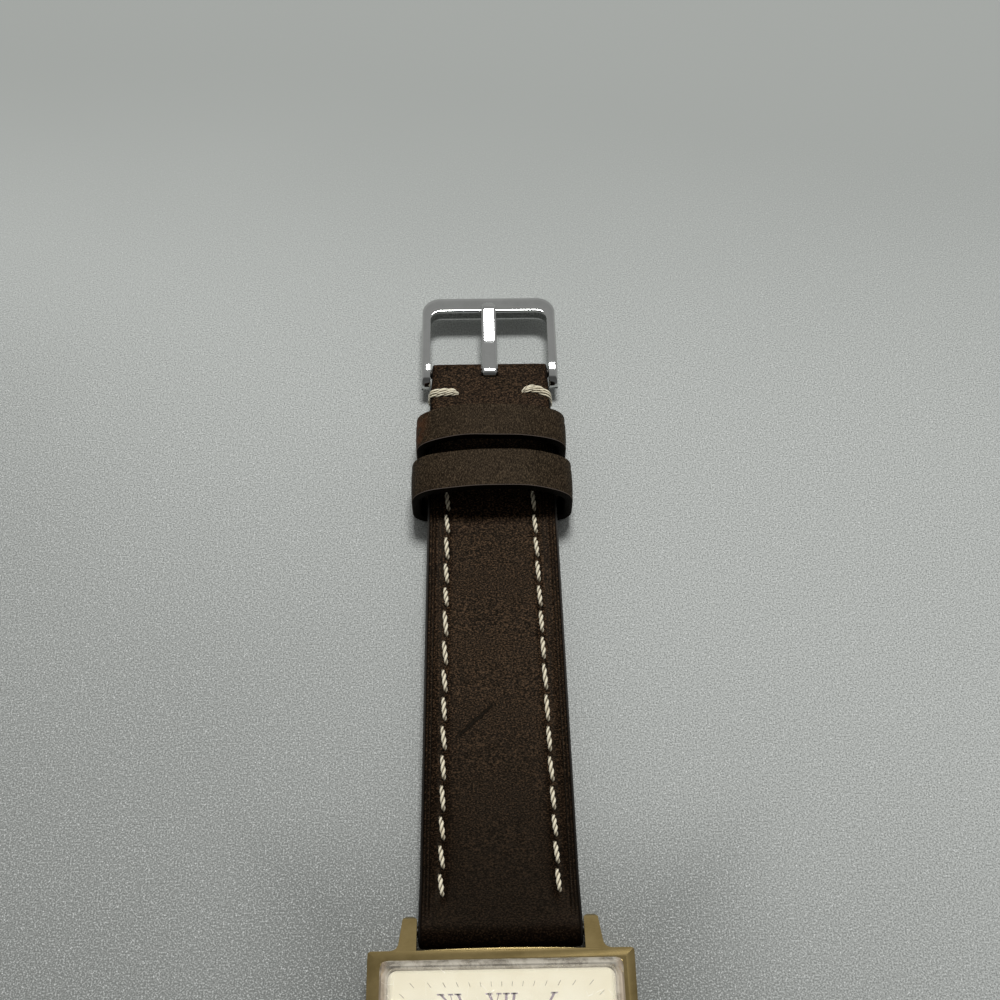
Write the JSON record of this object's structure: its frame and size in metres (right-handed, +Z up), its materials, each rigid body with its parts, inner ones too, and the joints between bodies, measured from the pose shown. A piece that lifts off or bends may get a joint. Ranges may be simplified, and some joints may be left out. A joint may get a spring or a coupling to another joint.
{
  "type": "square wristwatch",
  "caption": "Square gold-plated hand-wound wristwatch with a cream dial, on a dark brown stitched leather strap with keepers and a steel pin buckle.",
  "frame": {"origin": "middle of the case back's flat outer face, on which the watch lies", "axes": "+Z up through the dial, +Y towards twelve o'clock and the buckle, +X towards the crown"},
  "size_m": [0.0305, 0.2358, 0.009],
  "materials": {
    "gold_case": "gold-plated, satin flanks and bezel, worn edges",
    "case_back_steel": "brushed",
    "polished_steel": "polished steel",
    "movement_steel": "fine ground steel",
    "blued_steel": "heat-blued steel",
    "nickel": "nickel plate, fine frosted",
    "brass": "gilt brass",
    "crystal": "clear acrylic",
    "dial_cream": "cream lacquer on brass",
    "holder_grey": "turned alloy ring",
    "gasket_black": "black rubber",
    "ruby": "synthetic ruby",
    "hands": "dark oxidised",
    "strap_leather": "very dark brown, grained, worn",
    "keeper_leather": "olive brown, fine grain",
    "lining_leather": "tan suede-like lining",
    "thread": "cream waxed thread"
  },
  "bodies": {
    "root": {"case_body": "gold_case", "case_back": "case_back_steel", "back_gasket": "gasket_black", "crystal": "crystal", "crown_tube": "brass", "dial": "dial_cream", "movement_holder": "holder_grey", "main_plate": "nickel", "barrel_bridge": "nickel", "train_bridge": "nickel", "pallet_bridge": "nickel", "balance_cock": "nickel", "movement_screws": "blued_steel", "jewels": "ruby", "crown_wheel_core": "blued_steel", "click_spring": "movement_steel", "hairspring": "blued_steel", "setting_spring": "movement_steel", "lug_bars": "polished_steel", "lug_bar_pins": "polished_steel"},
    "winding_shaft": {"winding_pinion": "movement_steel"},
    "crown_and_stem": {"crown": "gold_case", "winding_stem": "movement_steel"},
    "clutch": {"clutch_wheel": "movement_steel"},
    "crown_wheel": {"crown_wheel": "movement_steel"},
    "ratchet": {"ratchet_wheel": "movement_steel", "ratchet_screw": "blued_steel", "barrel_arbor": "movement_steel"},
    "click": {"click": "movement_steel"},
    "barrel": {"barrel_drum": "brass", "barrel_lid": "brass", "mainspring": "movement_steel"},
    "centre": {"centre_wheel": "brass"},
    "third": {"third_wheel": "brass"},
    "fourth": {"fourth_wheel": "brass"},
    "escape": {"escape_wheel": "movement_steel"},
    "pallet": {"pallet_fork": "movement_steel"},
    "balance": {"balance_wheel": "brass"},
    "setting_lever": {"setting_lever": "movement_steel"},
    "yoke": {"yoke": "movement_steel"},
    "setting_wheel": {"setting_wheel": "movement_steel"},
    "minute_wheel": {"minute_wheel": "brass"},
    "minute": {"cannon_pinion": "movement_steel", "minute_hand": "hands"},
    "hour": {"hour_wheel": "brass", "hour_hand": "hands"},
    "buckle_strap": {"buckle_strap_leather": "strap_leather", "buckle_strap_lining": "lining_leather", "buckle_strap_stitching": "thread", "fixed_keeper": "keeper_leather"},
    "loose_keeper": {"floating_keeper": "keeper_leather"},
    "buckle": {"buckle_frame": "polished_steel", "buckle_bar": "polished_steel", "buckle_bar_pins": "polished_steel"},
    "tongue": {"buckle_tongue": "polished_steel"},
    "tail_strap": {"tail_strap_leather": "strap_leather", "tail_strap_lining": "lining_leather", "tail_strap_stitching": "thread"}
  },
  "joints": [
    {"name": "crown_turn", "type": "hinge", "parent": "root", "child": "winding_shaft", "pos_m": [0.00736, 0, 0.003], "axis": [1, 0, 0], "continuous": true},
    {"name": "crown_pull", "type": "slide", "parent": "winding_shaft", "child": "crown_and_stem", "axis": [1, 0, 0], "range_m": [0, 0.0009]},
    {"name": "clutch_slide", "type": "slide", "parent": "winding_shaft", "child": "clutch", "axis": [1, 0, 0], "range_m": [-0.00056, 0]},
    {"name": "crown_wheel_turn", "type": "hinge", "parent": "root", "child": "crown_wheel", "pos_m": [0.00541, 0, 0.0012], "axis": [0, 0, 1], "continuous": true},
    {"name": "ratchet_turn", "type": "hinge", "parent": "root", "child": "ratchet", "pos_m": [0.00243, 0.00414, 0.0012], "axis": [0, 0, 1], "continuous": true},
    {"name": "click_pivot", "type": "hinge", "parent": "root", "child": "click", "pos_m": [-0.00128, 0.00611, 0.0012], "axis": [0, 0, 1], "range_deg": [0, 12], "stiffness_Nm_per_rad": 0.000001},
    {"name": "fourth_turn", "type": "hinge", "parent": "root", "child": "fourth", "pos_m": [-0.0052, -0.00413, 0.0025], "axis": [0, 0, 1], "continuous": true},
    {"name": "third_turn", "type": "hinge", "parent": "root", "child": "third", "pos_m": [-0.00402, -0.00049, 0.0025], "axis": [0, 0, 1], "continuous": true},
    {"name": "centre_turn", "type": "hinge", "parent": "root", "child": "centre", "pos_m": [0, 0, 0.0025], "axis": [0, 0, 1], "continuous": true},
    {"name": "barrel_turn", "type": "hinge", "parent": "root", "child": "barrel", "pos_m": [0.00243, 0.00414, 0.003], "axis": [0, 0, 1], "continuous": true},
    {"name": "escape_turn", "type": "hinge", "parent": "root", "child": "escape", "pos_m": [-0.00241, -0.00543, 0.0025], "axis": [0, 0, 1], "continuous": true},
    {"name": "pallet_rock", "type": "hinge", "parent": "root", "child": "pallet", "pos_m": [-0.00035, -0.00572, 0.0025], "axis": [0, 0, 1], "range_deg": [-4, 4]},
    {"name": "balance_swing", "type": "hinge", "parent": "root", "child": "balance", "pos_m": [0.00219, -0.00559, 0.002], "axis": [0, 0, 1], "range_deg": [-270, 270], "stiffness_Nm_per_rad": 0.00000008},
    {"name": "minute_turn", "type": "hinge", "parent": "root", "child": "minute", "pos_m": [0, 0, 0.0045], "axis": [0, 0, 1], "continuous": true},
    {"name": "hour_turn", "type": "hinge", "parent": "root", "child": "hour", "pos_m": [0, 0, 0.0045], "axis": [0, 0, 1], "continuous": true},
    {"name": "minute_wheel_turn", "type": "hinge", "parent": "root", "child": "minute_wheel", "pos_m": [0.00131, -0.00156, 0.0044], "axis": [0, 0, 1], "continuous": true},
    {"name": "setting_wheel_turn", "type": "hinge", "parent": "root", "child": "setting_wheel", "pos_m": [0.00407, -0.00045, 0.0044], "axis": [0, 0, 1], "continuous": true},
    {"name": "setting_lever_pivot", "type": "hinge", "parent": "root", "child": "setting_lever", "pos_m": [0.00935, 0.0026, 0.0044], "axis": [0, 0, 1], "range_deg": [0, 26]},
    {"name": "yoke_pivot", "type": "hinge", "parent": "root", "child": "yoke", "pos_m": [0.00634, 0.0031, 0.0044], "axis": [0, 0, 1], "range_deg": [-10.5, 0]},
    {"name": "buckle_strap_hinge", "type": "hinge", "parent": "root", "child": "buckle_strap", "pos_m": [0, 0.01655, 0.0031], "axis": [1, 0, 0], "range_deg": [-85, 30]},
    {"name": "tail_strap_hinge", "type": "hinge", "parent": "root", "child": "tail_strap", "pos_m": [0, -0.01655, 0.0031], "axis": [1, 0, 0], "range_deg": [-30, 85]},
    {"name": "keeper_slide", "type": "slide", "parent": "buckle_strap", "child": "loose_keeper", "axis": [0, 1, 0], "range_m": [-0.046, 0.0022]},
    {"name": "buckle_hinge", "type": "hinge", "parent": "buckle_strap", "child": "buckle", "pos_m": [0, 0.09155, 0.00265], "axis": [1, 0, 0], "range_deg": [-60, 15]},
    {"name": "tongue_hinge", "type": "hinge", "parent": "buckle", "child": "tongue", "pos_m": [0, 0.09155, 0.00265], "axis": [1, 0, 0], "range_deg": [0, 75]}
  ],
  "couplings": [
    {"joint": "third_turn", "follows": "fourth_turn", "ratio": -0.13333},
    {"joint": "centre_turn", "follows": "fourth_turn", "ratio": 0.016667},
    {"joint": "barrel_turn", "follows": "fourth_turn", "ratio": -0.002381},
    {"joint": "escape_turn", "follows": "fourth_turn", "ratio": -10},
    {"joint": "crown_wheel_turn", "follows": "crown_turn", "ratio": 0.61905},
    {"joint": "ratchet_turn", "follows": "crown_turn", "ratio": -0.43333},
    {"joint": "clutch_slide", "follows": "crown_pull", "ratio": -0.6},
    {"joint": "setting_lever_pivot", "follows": "crown_pull", "rad_per_m": 482.47},
    {"joint": "yoke_pivot", "follows": "crown_pull", "rad_per_m": -193.06},
    {"joint": "minute_wheel_turn", "follows": "minute_turn", "ratio": -0.33333},
    {"joint": "hour_turn", "follows": "minute_turn", "ratio": 0.083333},
    {"joint": "setting_wheel_turn", "follows": "minute_turn", "ratio": 0.35294}
  ]
}
